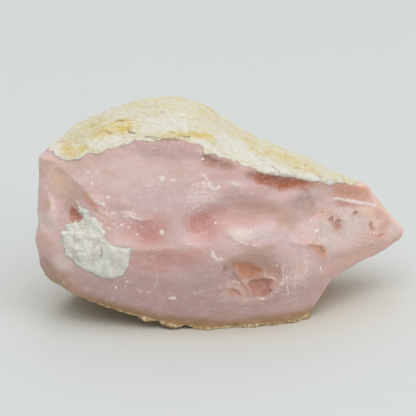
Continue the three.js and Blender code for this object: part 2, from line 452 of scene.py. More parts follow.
# Pale bruised lines: their run, how wide and how strong.
BRUISES = [
    ([(35.6, 18.2), (35.6, 16.8), (36.3, 15.6), (38, 15.8)], 0.45, 0.7),
    ([(50.4, 11.2), (50.4, 8.6), (50.6, 6.3)], 0.2, 0.65),
    ([(53.7, 14), (54.3, 12.6), (54.4, 10.8), (53.4, 9.6), (52, 9.1), (51.8, 7.6)], 0.26, 0.5),
    (TIP_VEIN, 0.2, 0.95),
    ([(62.6, 22.5), (65.2, 21.1), (68, 19.9)], 0.3, 0.9),
    ([(3, 29), (3.3, 31), (4.2, 32.6), (5.5, 32.8), (7.5, 31.4)], 0.45, 0.4),
    ([(2, 30.2), (2.2, 28.6), (3.4, 26.4), (3.9, 24.8), (3.6, 23)], 0.4, 0.4),
    ([(11.9, 18.7), (19.3, 17.9), (22, 17.7), (26.3, 18), (28, 18.4), (31.2, 19), (34.6, 19)], 0.3, 0.38),
    ([(38.6, 21.3), (40.5, 19.5), (41.9, 18.7), (43.5, 18.3), (45.6, 18.2)], 0.32, 0.5),
    ([(7.5, 31.5), (9.8, 29.8), (12, 27.3), (13.8, 26)], 0.5, 0.45),
    ([(12.4, 25.2), (15, 24.4), (18.2, 25), (20.8, 24.6)], 0.2, 0.7),
    ([(14, 22.8), (17.5, 22.4), (20, 23)], 0.2, 0.7),
    ([(14.2, 21.4), (16, 21.6), (18.4, 22.4)], 0.16, 0.6),
    ([(24.6, 13.4), (24.3, 10), (22.8, 8.2)], 0.2, 0.55),
    ([(26.4, 12.8), (26, 9.4)], 0.16, 0.5),
    ([(21.8, 13), (21.6, 10.6)], 0.16, 0.45),
    ([(29.4, 8.8), (32, 8.2), (34, 8.6)], 0.2, 0.4),
    ([(33, 33), (34.6, 31.8), (35, 30.2), (36.4, 29.2)], 0.3, 0.6),
    ([(31.4, 30), (32, 28.4), (33.4, 27.6)], 0.35, 0.5),
    ([(21.4, 34.4), (23.6, 35.2), (26, 34.4)], 0.14, 0.4),
    ([(51.6, 14.6), (52.4, 13), (52.2, 11.4)], 0.2, 0.5),
    ([(53.2, 15.4), (54.9, 13.8), (55.4, 12)], 0.22, 0.5),
    ([(48.9, 12.6), (49, 10), (48.6, 7.6)], 0.14, 0.5),
    ([(17.5, 24), (19.3, 24.2), (22.1, 23.4)], 0.2, 0.85),
    ([(16.6, 24.8), (19, 25), (21, 24.4)], 0.16, 0.7),
    ([(39, 15.9), (40.8, 14.7), (44.6, 14.2), (48.3, 13.6)], 0.3, 0.3),
    ([(50.5, 19.8), (51.9, 17.9), (53.7, 17.3), (54.9, 16.8), (57.5, 15.8)], 0.25, 0.4),
    ([(45.8, 12.7), (45.9, 11.5), (46, 10.4), (48.3, 10.1)], 0.25, 0.5),
    ([(49.3, 13.2), (49.6, 10.4), (49.2, 8.6)], 0.22, 0.55),
    ([(44.6, 6.4), (46.2, 6.2)], 0.2, 0.7),
    ([(38.6, 9.9), (40.4, 9.8), (41.4, 9.2)], 0.35, 0.5),
    ([(60, 19.2), (61.6, 19.3), (61.8, 17.4)], 0.22, 0.55),
    ([(64.5, 17.4), (65, 17.2), (65.4, 17.7), (65, 18.1), (64.5, 17.8)], 0.14, 0.8),
    ([(68.2, 16.2), (69.4, 14.3), (69.6, 13.2), (72, 13.2)], 0.2, 0.5),
    ([(30.9, 25.4), (30.8, 23.4), (31, 21)], 0.25, 0.35),
    ([(34.4, 28.9), (35.6, 27.7), (36.2, 26.6)], 0.35, 0.5),
    ([(33.2, 31.2), (34.8, 30.3), (36.4, 29.6), (37.2, 29.8)], 0.3, 0.7),
]

# Pale flecks with soft edges: where, half width and half height.
FLECKS = [((11, 32.4), (0.3, 0.3)), ((12.7, 32.5), (0.35, 0.2)), ((11.8, 30.3), (0.3, 0.5)),
          ((20, 33.1), (0.3, 0.35)), ((25.6, 31.6), (0.55, 0.6)), ((27.6, 31.3), (0.55, 0.18)),
          ((27.6, 29.7), (0.5, 0.2)), ((28.4, 36.4), (0.5, 0.2)), ((22.9, 30.3), (0.2, 0.35)),
          ((33.6, 35.4), (0.35, 0.3)), ((15, 27.7), (0.35, 0.4)), ((13.9, 26.3), (0.45, 0.5)),
          ((56.3, 18.6), (0.7, 0.35)), ((35, 30.6), (0.25, 0.2)), ((36.6, 29.9), (0.4, 0.3)),
          ((19, 22), (0.3, 0.25)), ((25.5, 21.2), (0.45, 0.6)), ((20.6, 20.6), (0.25, 0.4)),
          ((36.1, 22.8), (0.3, 0.3)), ((48.2, 13.1), (0.35, 0.25)), ((57.4, 10.3), (0.25, 0.6)),
          ((18.8, 10.6), (0.7, 0.2)), ((22.6, 8.2), (0.25, 0.6)), ((27.6, 7.2), (0.9, 0.3)),
          ((16.2, 9), (0.2, 0.5)), ((43, 20.9), (0.2, 0.5))]

# Areas peppered with small bruises: where, how large, turned how and how dense.
PEPPERED = [
    ((33.4, 28.6), (4.4, 4.8), 0, 0.95),
    ((14, 24.2), (3.4, 3), 0, 1.1),
    ((59, 20.6), (6, 2.6), -10, 0.9),
    ((68.6, 15), (3, 3.4), 0, 1),
    ((39, 9.4), (3.4, 2.6), 0, 0.65),
    ((13, 31), (6, 4), -20, 0.55),
    ((24, 30), (9, 4), 0, 0.5),
    ((20, 24.5), (7, 2.5), 0, 0.6),
    ((44, 20), (7, 2), -8, 0.7),
    ((52.6, 11), (4.4, 6), 0, 0.75),
    ((60, 18), (8, 5), 0, 0.75),
    ((24, 10), (14, 5), 0, 0.35),
    ((38, 10.5), (4, 5), 0, 0.4),
]

# Places on the rind are given as (along, rise): rise is how high, measured up a plane that leans back.
RIND_LEAN = math.radians(20)

# Ochre and chalky areas of the rind: where, how large, turned how and how strong.
OCHRE = [
    ((8, 36.8), (3.4, 1.7), 4, 1),
    ((14, 39.4), (3.6, 1), 24, 0.5),
    ((17.8, 41.2), (3, 1.5), 12, 1.1),
    ((12.2, 42.6), (3, 1.4), 30, 0.5),
    ((26, 45), (4, 0.9), 4, 0.6),
    ((29, 39.6), (5, 0.7), 0, 0.6),
    ((34, 44.7), (2.5, 1.8), -30, 0.5),
    ((33.6, 39), (3.4, 0.7), 0, 0.7),
    ((42, 39.2), (4, 1.3), -30, 0.45),
    ((50.5, 35.4), (4.4, 1), -27, 0.45),
    ((57, 32.6), (4, 0.7), -26, 0.4),
]
CHALKY = [
    ((47.2, 33), (5.4, 1.5), -30, 1),
    ((14.6, 38), (4, 0.9), 14, 0.8),
    ((33.4, 37.6), (3, 0.9), -25, 0.9),
    ((40, 37), (5, 2), -33, 0.9),
    ((25, 41.6), (7, 2), 0, 0.6),
    ((57, 30.6), (5, 0.8), -20, 0.7),
    ((4.6, 36.6), (1.6, 1.4), 0, 0.8),
]

# Cracks in the rind and a painted shadow line along its front edge, placed by (along, rise): their run, how
# wide and how dark.
RIND_CRACKS_AND_SHADOW = [
    ([(15.9, 42), (16.8, 42.4), (18.1, 42.5)], 0.14, 0.9),
    ([(18.5, 40.6), (19.2, 40), (20.7, 39.9)], 0.16, 0.9),
    ([(18.6, 40.9), (19.6, 40.6)], 0.12, 0.6),
    ([(14.1, 40.3), (15, 39.9), (16.1, 39.7)], 0.12, 0.7),
    ([(9.6, 42.1), (10.6, 41.9), (11.8, 41.5)], 0.13, 0.6),
    ([(3.8, 38.4), (5, 38.8), (6.2, 38.7)], 0.15, 0.55),
    ([(25.1, 44), (26.4, 44.1)], 0.2, 0.4),
    ([(27.1, 40.3), (27.6, 39.8), (28.2, 39.6)], 0.12, 0.6),
    ([(21.6, 38.9), (22.9, 39.2), (24, 38.9), (25.3, 39)], 0.16, 0.85),
    ([(28.4, 38.9), (29.4, 39.3), (30.4, 38.9), (31.6, 39.1)], 0.15, 0.85),
    # Painted shadow of the rind's overhang, drawn as a dark line along its front edge.
    ([(23.6, 38.3), (26, 38.5), (29.4, 38.4)], 0.2, 0.8),
    ([(44.3, 35.5), (45.4, 34.6), (46.2, 34.7), (47, 34)], 0.15, 0.6),
    ([(46.6, 33.8), (47.8, 32.9), (49, 31.6)], 0.14, 0.7),
    ([(45.4, 33.9), (46.4, 33.1)], 0.13, 0.5),
    ([(51.6, 33), (52.8, 33.2), (53.2, 32.8)], 0.15, 0.6),
    ([(53.8, 33.4), (54.9, 33.5)], 0.18, 0.55),
    ([(56.6, 31.4), (58.2, 31.2)], 0.16, 0.6),
]

# Slits in the clay, placed by (along, high): their run, how wide and how dark.
CLAY_SLITS = [
    ([(13.5, 18.2), (13.7, 16.6), (13.4, 15.4)], 0.16, 0.8),
    ([(7.6, 17), (9.2, 16.7), (10.8, 16.7)], 0.12, 0.6),
    ([(7.9, 15.6), (8.6, 14.8), (9.2, 14)], 0.12, 0.6),
    ([(11, 21.7), (12, 21.4), (13, 21.6)], 0.2, 0.25),
    ([(15, 14.6), (15.9, 13.8), (16.6, 13.2)], 0.25, 0.25),
]

# The opal's washes of colour, soft ovals laid one over the other: where, how large, turned how, which and how
# strong. Some are painted shade, marked where they stand.
WASHES = [
    # Darker towards the bottom: partly the stone's own tone and partly painted shade where the front turns
    # under.
    ((28, 7), (46, 9), 0, "dusk", 0.85),
    ((16, 33), (16, 5), 0, "flesh", 0.6),
    ((27, 27), (13, 5), 0, "lilac", 0.45),
    # Painted shade just below the rind, for the shadow under its overhanging edge.
    ((27, 36.8), (8, 1.8), 0, "dusk", 0.7),
    ((24, 37.6), (9, 1), 2, "umber", 0.5),
    ((3, 33), (2.6, 2), 0, "cream", 0.45),
    ((2, 31.4), (1.2, 1.8), 0, "salmon", 0.5),
    ((5.4, 30.2), (4.2, 2.6), -52, "peach", 0.95),
    ((8, 33.4), (5, 1.1), 5, "warm", 0.6),
    ((7.4, 26.4), (3.6, 2.4), -52, "tan", 0.6),
    ((11.6, 26.4), (3, 0.9), -45, "apricot", 0.8),
    ((2.4, 27), (1.8, 3.4), 0, "tan", 0.4),
    ((3.8, 24.4), (0.8, 2.6), 8, "bone", 0.6),
    # Partly painted shade: the left scoop is darkened where it turns from the light.
    ((6.4, 23.6), (1.6, 2.8), -20, "mauve", 0.6),
    ((2.9, 25), (0.7, 0.9), 0, "ochre", 0.6),
    ((2.2, 21.4), (2.6, 2.2), 10, "bone", 0.85),
    ((2.4, 17.4), (2.4, 1.8), 0, "tan", 0.7),
    ((5.8, 13.6), (2.6, 2.6), 10, "bone", 0.75),
    ((5.6, 10), (5.5, 2), -32, "salmon", 0.6),
    ((13, 8.2), (9, 2.2), -20, "mauve", 0.5),
    ((14.4, 23.6), (2, 2.6), 20, "salmon", 0.6),
    ((18, 20), (3, 2.4), 0, "flesh", 0.6),
    ((23, 21.6), (6.4, 3.6), 0, "rose", 0.75),
    ((23, 20.6), (3.2, 2), 0, "deep rose", 0.75),
    ((34, 22.8), (4.6, 4.2), 0, "rose", 0.85),
    ((32.8, 22.2), (2.4, 2.8), 10, "deep rose", 0.8),
    ((34, 24), (1, 0.6), 0, "rust", 0.25),
    ((39, 24.6), (5, 2), 0, "rose", 0.4),
    ((28.4, 20.6), (2.4, 3), 0, "lilac", 0.55),
    ((26.5, 15.8), (9.5, 3), 0, "rose", 0.8),
    ((22, 13.6), (5, 3), 0, "rose", 0.35),
    ((32.4, 17.4), (1.4, 0.9), 0, "salmon", 0.7),
    ((34.5, 12), (4.5, 4.5), 0, "mauve", 0.5),
    # Painted shade on the down-facing band along the wave ridge.
    ((43, 28.2), (8, 1.5), -5, "dusk", 0.8),
    ((45.4, 24.8), (8, 2), -16, "clay pink", 0.9),
    ((50, 21.9), (3, 1.6), -38, "tan", 0.85),
    ((44.6, 20.2), (6.4, 1.7), -8, "lilac", 1),
    ((41.2, 20.4), (2.8, 1.5), -20, "bone", 0.75),
    ((50.4, 18), (3.4, 2), 0, "lilac", 0.6),
    ((54, 24.2), (3.8, 3.6), 0, "mauve", 0.85),
    ((55.3, 23.6), (1.3, 1.8), 0, "tan", 0.5),
    # Under the rind's edge these are partly the stone's own orange-brown and partly painted shadow of the
    # rind's overhang.
    ((45, 31), (4, 1.3), -25, "rust", 0.6),
    ((50.4, 28.9), (7.4, 1.4), -17, "rust", 0.9),
    ((57.6, 27), (3.4, 0.9), -25, "tawny", 0.8),
    # Painted shade under the rind's overhang.
    ((36.8, 34.8), (3.8, 1.2), -22, "umber", 1),
    ((35.2, 34.4), (1.8, 0.8), 0, "salmon", 0.5),
    ((39.9, 30.3), (1.8, 0.8), -20, "cream", 0.8),
    ((44, 16.2), (6, 1.8), 0, "tan", 0.45),
    ((43.5, 10.8), (6.6, 5), 0, "tan", 0.85),
    ((41.6, 13), (3.4, 1.8), -24, "brown", 0.5),
    ((39.3, 10.6), (2.2, 3), 0, "mauve", 0.8),
    ((47.6, 11), (1.8, 2.6), 0, "salmon", 0.6),
    ((54, 11), (3.4, 3.4), 0, "flesh", 0.5),
    ((52.8, 14.6), (1.6, 1.6), 0, "lilac", 0.7),
    ((52.9, 12), (1.1, 1.8), 0, "salmon", 0.5),
    # Partly painted shade low on the front, as with the broad dusk wash.
    ((55, 7), (3.6, 4), 0, "dusk", 0.5),
    ((61, 17), (6.5, 4.6), -10, "pale", 0.9),
    ((58.6, 20.8), (2.4, 1.4), -20, "salmon", 0.6),
    ((70.6, 14), (1.6, 3), 40, "apricot", 0.5),
    ((67, 19.4), (3, 1.6), -30, "warm", 0.7),
    ((64, 23.8), (7, 2.2), -26, "apricot", 0.7),
    ((62.4, 24.6), (5, 1.4), -26, "brown", 0.5),
    ((60, 25), (3, 1.3), -20, "tawny", 0.7),
    ((57.4, 26), (2.4, 1.4), -20, "lilac", 0.6),
    ((62.6, 21.5), (3.2, 0.7), -28, "deep rose", 0.8),
    ((69.4, 17.2), (2.4, 3.6), 28, "warm", 0.8),
    ((73.4, 12.8), (3, 2.4), 0, "bone", 0.8),
    ((70.5, 15.6), (2, 3), 34, "salmon", 0.4),
    ((65, 10), (9, 2.1), 6, "clay pink", 0.85),
    ((60.9, 18.1), (1.4, 1.8), 18, "rust", 0.75),
    ((59.4, 19.7), (0.7, 1.1), 35, "rust", 0.7),
    ((64.6, 19), (0.8, 0.55), -10, "rust", 0.8),
    ((57.4, 21.8), (1, 0.8), 0, "apricot", 0.6),
    ((55.7, 21.5), (0.7, 0.6), 0, "apricot", 0.6),
    ((68.6, 15.1), (0.6, 1.3), 40, "rust", 0.7),
    ((70.6, 12.7), (1.2, 0.55), 10, "apricot", 0.65),
    ((67.9, 13.5), (0.9, 0.7), 0, "salmon", 0.6),
    ((46.9, 7.7), (0.6, 0.7), 0, "rust", 0.9),
    ((37.9, 13.2), (0.8, 0.9), 0, "brown", 0.5),
    ((14.2, 32.6), (1.4, 0.35), 0, "salmon", 0.7),
]

# The washes' colours.
COLOURS = {
    "pink": srgb(217, 184, 179), "flesh": srgb(226, 204, 194), "lilac": srgb(209, 187, 188),
    "dusk": srgb(186, 157, 153), "umber": srgb(166, 138, 131), "mauve": srgb(187, 158, 153),
    "rose": srgb(206, 154, 147), "deep rose": srgb(202, 140, 132), "salmon": srgb(212, 164, 143),
    "tan": srgb(196, 163, 144), "clay pink": srgb(209, 173, 156), "tawny": srgb(190, 143, 122),
    "mocha": srgb(168, 130, 114), "brown": srgb(174, 122, 102), "rust": srgb(168, 98, 64),
    "apricot": srgb(212, 152, 120), "warm": srgb(228, 194, 172), "peach": srgb(240, 205, 182),
    "cream": srgb(216, 204, 190), "bone": srgb(226, 210, 199), "ochre": srgb(194, 158, 104),
    "pale": srgb(218, 199, 190),
}

# Lines fade over these shares of their length, and ovals between these two distances from their middle, where
# 1 is on the rim.
RIDGE_FADE = 0.12
BRUISE_FADE = 0.08
CRACK_FADE = 0.2
HOLLOW_RIM = (1.05, 0)
FLECK_RIM = (1.3, 0.5)
PATCH_RIM = (1.5, 0.3)
PEPPER_RIM = (1.2, 0.3)
WASH_RIM = (1.25, 0.35)
PEPPER_ELSEWHERE = 0.2
PEPPER_OFF_FRONT = 0.3
# A broken hollow's wall starts this far inside its outline, or outside it where negative.
BROKEN_RIM = -0.12


def front_cut(x, z):
    """How far each place on the front face is cut back."""
    shallow = np.zeros(x.shape)
    for at, half, turn, depth in HOLLOWS:
        shallow += depth * smooth_step(*HOLLOW_RIM, oval(x, z, at, half, turn))
    broken = np.zeros(x.shape)
    for hollow in BROKEN_HOLLOWS:
        within = inside(x, z, hollow["outline"])
        broken = np.maximum(broken, hollow["depth"] * smooth_step(BROKEN_RIM, hollow["wall"], within))
    raised = np.zeros(x.shape)
    for run, width, height in RIDGES:
        raised += height * stroke(x, z, run, width, RIDGE_FADE)
    return shallow + broken - raised


def strongest_line(x, up, table, fade):
    """How strongly the soft lines of a table show."""
    strongest = np.zeros(x.shape)
    for run, width, strength in table:
        strongest = np.maximum(strongest, strength * stroke(x, up, run, width, fade))
    return strongest


def bruises(x, z):
    """How strongly pale bruised lines and flecks show."""
    pale = strongest_line(x, z, BRUISES, BRUISE_FADE)
    for at, half in FLECKS:
        pale = np.maximum(pale, smooth_step(*FLECK_RIM, oval(x, z, at, half)))
    return pale


def patches(x, up, table, rim):
    """How strongly the soft ovals of a table show."""
    strongest = np.zeros(x.shape)
    for at, half, turn, strength in table:
        strongest = np.maximum(strongest, strength * smooth_step(*rim, oval(x, up, at, half, turn)))
    return strongest


def peppering(x, z):
    """How densely small bruises lie."""
    return np.maximum(PEPPER_ELSEWHERE, patches(x, z, PEPPERED, PEPPER_RIM))


# ---------------- what is where on the stone

# Noises over the surface: their lumps' size in millimetres, octaves, where in the noise they start and, for
# some, how they are squeezed along, deep and high. Less than 1 draws them out that way.
NOISES = {
    "sway along": (2.2, 3, 3.1),
    "sway up": (2.2, 3, 7.7),
    "ragged": (1.1, 3, 11.0),
    "uneven crust": (3, 3, 5.0, (0.6, 1, 1)),
    "uneven glow": (5, 2, 9.0),
    "broad": (9, 2, 1.0),
    "medium": (3, 3, 4.0),
    "fine": (0.9, 3, 6.0),
    "rough rind": (2.6, 4, 8.0, (0.5, 1, 1)),
    "rind grain": (0.7, 3, 18.0, (0.6, 1, 1)),
    "clay lumps": (2.4, 3, 21.0, (1, 1, 0.8)),
    "crust flakes": (1.6, 3, 15.0, (0.5, 0.5, 1)),
    "ochre": (7, 3, 31.0, (0.6, 1, 1)),
    "chalk": (5, 3, 33.0, (0.6, 1, 1)),
    "lilac cloud": (12, 2, 41.0),
    "rose cloud": (9, 2, 43.0),
    "tan cloud": (8, 3, 47.0),
}

# Pairs are where something is 0 and where it is 1, in millimetres or, for a facing, as a share of the normal.
FAR_OUTSIDE = -3
FRONT_FACING = (0.12, 0.5)
FRONT_DEPTHS = (34, 26)
ON_FRONT = 0.3
ON_RIND = (-0.1, 0.15)
ON_CLAY = (-0.1, 0.2)
ON_CRUST = (-0.1, 0.3)
CLAY_CRUMBLED_ALONG = (14, 9)
CLAY_CRUMBLED_HIGH = (18, 20)
LEFT_END = (14, 6)
OFF_GROUND = (0.3, 2)
BEFORE_CREST = (20, 16)
# The rind ends at RIND_EDGE in front, and at the edge of the CAD stone's upper sheet farther back.
RIND_EDGE_DEPTHS = (17, 13)
RIND_OVERLAP = 0.2
RIND_FARTHEST = -2.5
RIND_RAGGED = 0.12
RIND_WANDER = 0.3
RIND_END_SLANT = 0.12
RIND_END_WANDER = 1.2
CLAY_RAGGED = 0.06
CLAY_RAGGED_CRUMBLED = 0.3
CRUST_END = 56
CRUST_BAND = 0.6
CRUST_BAND_LEFT = -1.0
EDGE_LINE = 0.45
EDGE_LINE_LEFT = 0.25
CRUST_RAGGED = 0.2
CRUST_UNEVEN = 0.4
GLOW_BAND = (-3.2, -0.8)
GLOW_LEFT = 0.45
# How far, along and up, noise moves what is drawn.
DRAWN_SWAY = (0.3, 0.3)
CLAY_SWAY = (0.15, 0.15)
BRUISE_SWAY = (0.12, 0.12)
RIND_SWAY = (0.2, 0.15)


class Surface:
    """What is where on the fine mesh, one value for each vertex.

    `rind`, `clay` and `crust` say how far a vertex is inside the edge of a part, negative outside it.
    `front`, `on_rind`, `on_clay` and `on_crust` are 1 on a part and 0 off it.
    """

    def __init__(self, mesh, cad):
        self.points = vectors(mesh.vertices, "co")
        self.normals = vectors(mesh.vertices, "normal")
        self.x, self.y, self.z = self.points.T
        self.noises = {name: field(self.points, *settings) for name, settings in NOISES.items()}
        self.front = smooth_step(*FRONT_FACING, -self.normals[:, 1]) * smooth_step(*FRONT_DEPTHS, self.y)
        self.top = sheet_depth(self.points, sheet_trees(cad, 1, math.inf))
        self.bottom = sheet_depth(self.points, sheet_trees(cad, -1, CRUST_END))
        self.rind = self.find_rind()
        self.on_rind = smooth_step(*ON_RIND, self.rind)
        self.crumbled = smooth_step(*CLAY_CRUMBLED_ALONG, self.x) + smooth_step(*CLAY_CRUMBLED_HIGH, self.z)
        self.clay = self.find_clay()
        self.on_clay = smooth_step(*ON_CLAY, self.clay)
        self.at_left = smooth_step(*LEFT_END, self.x) * smooth_step(*OFF_GROUND, self.z)
        self.crust = self.find_crust()
        self.on_crust = smooth_step(*ON_CRUST, self.crust)
        self.crack_and_shadow = self.find_cracks_and_shadow()

    def swayed(self, along, up):
        """The vertices' (along, high), moved by noise so that what is drawn there wanders."""
        return self.x + along * self.noises["sway along"], self.z + up * self.noises["sway up"]

    def on_the_rind(self):
        """The vertices' (along, rise), moved by noise."""
        rise = self.z * math.cos(RIND_LEAN) + self.y * math.sin(RIND_LEAN)
        along, up = RIND_SWAY
        return self.x + along * self.noises["sway along"], rise + up * self.noises["sway up"]

    def find_rind(self):
        away, side, _ = line(self.x, self.z, RIND_EDGE)
        drawn = smooth_step(*RIND_EDGE_DEPTHS, self.y)
        rind = away * side * drawn + (self.top + RIND_OVERLAP) * (1 - drawn)
        rind += RIND_RAGGED * self.noises["ragged"]
        rind += RIND_WANDER * self.noises["sway along"]
        before_end = RIND_END + RIND_END_SLANT * self.y - self.x + RIND_END_WANDER * self.noises["sway up"]
        return np.where(self.top < RIND_FARTHEST, FAR_OUTSIDE, np.minimum(rind, before_end))

    def find_clay(self):
        ragged = (CLAY_RAGGED + CLAY_RAGGED_CRUMBLED * self.crumbled) * self.noises["ragged"]
        clay = inside(*self.swayed(*CLAY_SWAY), CLAY) + ragged
        return np.where(self.front > ON_FRONT, clay, FAR_OUTSIDE)

    def find_crust(self):
        """The crust is a band along the lower sheet's edge, and at the left only a line on that edge."""
        band = CRUST_BAND + (CRUST_BAND_LEFT - CRUST_BAND) * self.at_left
        edge_line = EDGE_LINE + (EDGE_LINE_LEFT - EDGE_LINE) * self.at_left
        even = np.maximum(self.bottom + band, edge_line - np.abs(self.bottom))
        return even + CRUST_RAGGED * self.noises["ragged"] + CRUST_UNEVEN * self.noises["uneven crust"]

    def find_cracks_and_shadow(self):
        # Cracks and the painted shadow line in the rind, and slits in the clay.
        in_rind = strongest_line(*self.on_the_rind(), RIND_CRACKS_AND_SHADOW, CRACK_FADE)
        in_clay = strongest_line(self.x, self.z, CLAY_SLITS, CRACK_FADE)
        return in_rind * smooth_step(*BEFORE_CREST, self.y) + in_clay * self.front


# ---------------- relief

OPAL_WAVES = {"broad": 0.2, "medium": 0.1, "fine": 0.035}
SHELL_SIZE = 7.5
SHELL_HEIGHT = 0.35
SHELL_BEND = 1.2
SHELL_LESS_ON_FRONT = 0.7
SUNK = 0.08
RIND_RAISED = 0.04
RIND_ROUGHNESS = 0.3
RIND_GRAIN = 0.13
UNDERCUT = 0.12
UNDERCUT_REACH = 0.7
CLAY_RAISED = 0.4
CLAY_EDGE = 0.7
CLAY_PLATE_SIZE = 3.4
CLAY_PLATES = 0.6
CLAY_LUMPS = 0.12
CLAY_CRUMBS = 0.04
CLAY_CRUMBS_BROKEN = 0.12
CRUST_FLAKES = 0.25
CRUST_GRAIN = 0.08
CRUST_LIP = 0.7
CRUST_LIP_WIDTH = 0.9
CRACK_DEPTH = 0.22

# The left end's profile: a notch and, with a negative depth, a bulge, by how high they are, how wide and how
# deep. They fade out between these two places along the stone.
LEFT_PROFILE = [(20.2, 1.5, 0.3), (16.6, 2.4, -0.3)]
LEFT_PROFILE_ALONG = (6, 2)


def opal_relief(surface, open_front):
    """Slow waves and flake scars, which are weaker on the front because its own are drawn there."""
    noises = surface.noises
    broad, medium = noises["broad"], noises["medium"]
    bent = surface.points + SHELL_BEND * np.stack([broad, medium, broad], axis=1)
    waves = sum(height * noises[name] for name, height in OPAL_WAVES.items())
    scars = SHELL_HEIGHT * (shells(bent, SHELL_SIZE, 2.0) - 0.5)
    return waves + scars * (1 - SHELL_LESS_ON_FRONT * open_front) - SUNK


def rind_relief(surface):
    """The rind stands a little proud, and the opal is cut under just below its edge."""
    rough = RIND_ROUGHNESS * surface.noises["rough rind"] * smooth_step(0, 1.5, surface.rind)
    raised = surface.on_rind * (RIND_RAISED + rough + RIND_GRAIN * surface.noises["rind grain"])
    below = np.exp(-np.maximum(0, -surface.rind) / UNDERCUT_REACH) * (1 - surface.on_rind)
    return raised - UNDERCUT * below * smooth_step(-1.2, -0.2, surface.top + 0.6)


def clay_relief(surface):
    """Broken plates with creases between them, crumbled at the left and at the top."""
    noises = surface.noises
    bend = 0.5 * np.stack([noises["sway along"], noises["sway up"], noises["broad"]], axis=1)
    plates = shells(surface.points * np.array((0.8, 0.8, 1)) + bend, CLAY_PLATE_SIZE, 25.0)
    crumbs = (CLAY_CRUMBS + CLAY_CRUMBS_BROKEN * surface.crumbled) * noises["ragged"]
    lumps = CLAY_PLATES * (plates - 0.3) + CLAY_LUMPS * noises["clay lumps"] + crumbs
    return surface.on_clay * (CLAY_RAISED * smooth_step(0, CLAY_EDGE, surface.clay) + lumps)


def crust_relief(surface):
    """Flakes on the crust, and a lip along the edge that the stone stands on."""
    flakes = surface.noises["crust flakes"]
    lip = CRUST_LIP * np.exp(-(surface.bottom / CRUST_LIP_WIDTH) ** 2) * (1 + 0.9 * flakes)
    rough = surface.on_crust * (CRUST_FLAKES * flakes + CRUST_GRAIN * surface.noises["fine"])
    return rough + lip * smooth_step(3, 1.5, surface.z)


def left_outline(surface):
    """How far each vertex moves along the stone, for the left end's profile."""
    inwards = sum(depth * np.exp(-((surface.z - high) / width) ** 2) for high, width, depth in LEFT_PROFILE)
    return smooth_step(*LEFT_PROFILE_ALONG, surface.x) * inwards


def shape(mesh, surface):
    """Move the mesh's vertices to the stone's relief."""
    open_front = surface.front * (1 - surface.on_rind) * (1 - surface.on_clay)
    out = opal_relief(surface, open_front) - CRACK_DEPTH * surface.crack_and_shadow
    for relief in (rind_relief, clay_relief, crust_relief):
        out += relief(surface)
    moved = surface.points + surface.normals * out[:, None]
    moved[:, 0] += left_outline(surface)
    moved[:, 1] += front_cut(*surface.swayed(*DRAWN_SWAY)) * open_front
    mesh.vertices.foreach_set("co", np.clip(moved, 0, SIZE).ravel())


# ---------------- colour washes and masks

# Slow clouds of colour away from the front: the noise value where each starts and how strong it is.
CLOUDS = [("lilac", 0.0, 1), ("rose", 0.05, 0.8), ("tan", 0.1, 0.8)]
CLOUDS_LESS_ON_FRONT = 0.75
# Painted shade: the opal is darker for a short way below the rind, except towards the tip, for the shadow
# under the rind's edge.
RIND_SHADE_REACH = 0.9
RIND_SHADE_ALONG = (60, 50)
WARM_TIP_ALONG = (RIND_END - 7, RIND_END + 3)


def washed(surface):
    """The opal's colour at each vertex: washes on the front and clouds elsewhere, then its edges, with
    painted shade below the rind.
    """
    x, z = surface.swayed(*DRAWN_SWAY)
    front = surface.front
    colour = np.tile(np.array(COLOURS["pink"]), (len(x), 1))

    def lay(name, share):
        colour[:] += share[:, None] * (np.array(COLOURS[name]) - colour)

    for name, start, strength in CLOUDS:
        cloud = smooth_step(start, 0.5, surface.noises[name + " cloud"])
        lay(name, strength * cloud * (1 - CLOUDS_LESS_ON_FRONT * front))
    for at, half, turn, name, strength in WASHES:
        lay(name, front * strength * smooth_step(*WASH_RIM, oval(x, z, at, half, turn)))
    # Painted shade below the rind's edge.
    lay("umber", 0.7 * np.exp(np.minimum(surface.rind, 0) / RIND_SHADE_REACH) * smooth_step(*RIND_SHADE_ALONG, x))
    lay("warm", 0.85 * smooth_step(*WARM_TIP_ALONG, x) * (1 - front))
    for hollow in BROKEN_HOLLOWS:
        lay(hollow["wash"], front * 0.85 * smooth_step(-0.45, 0.35, inside(x, z, hollow["outline"])))
    return colour


def paint(mesh, surface):
    """Give the mesh the attributes that its material reads."""
    noises = surface.noises
    reach = surface.bottom + 0.6 * noises["uneven glow"]
    numbers = {
        "rind": np.clip(surface.rind, -3, 3),
        "clay": np.clip(surface.clay, -3, 3),
        "crust": np.clip(surface.crust, -3, 3),
        "glow": smooth_step(*GLOW_BAND, reach) * (1 + (GLOW_LEFT - 1) * surface.at_left),
        "pale": bruises(*surface.swayed(*BRUISE_SWAY)) * surface.front,
        "crack_and_shadow": surface.crack_and_shadow,
        "pepper": np.where(surface.front > ON_FRONT, peppering(surface.x, surface.z), PEPPER_OFF_FRONT),
        "ochre": np.clip(patches(*surface.on_the_rind(), OCHRE, PATCH_RIM) + 0.5 * noises["ochre"], 0, 1),
        "chalk": np.clip(patches(*surface.on_the_rind(), CHALKY, PATCH_RIM) + 0.4 * noises["chalk"], 0, 1),
    }
    for name, values in numbers.items():
        attribute = mesh.attributes.new(name, "FLOAT", "POINT")
        attribute.data.foreach_set("value", values.astype(np.float32))
    attribute = mesh.attributes.new("wash", "FLOAT_COLOR", "POINT")
    attribute.data.foreach_set("color", washed(surface).astype(np.float32).ravel())
    mesh.update()


# ---------------- material

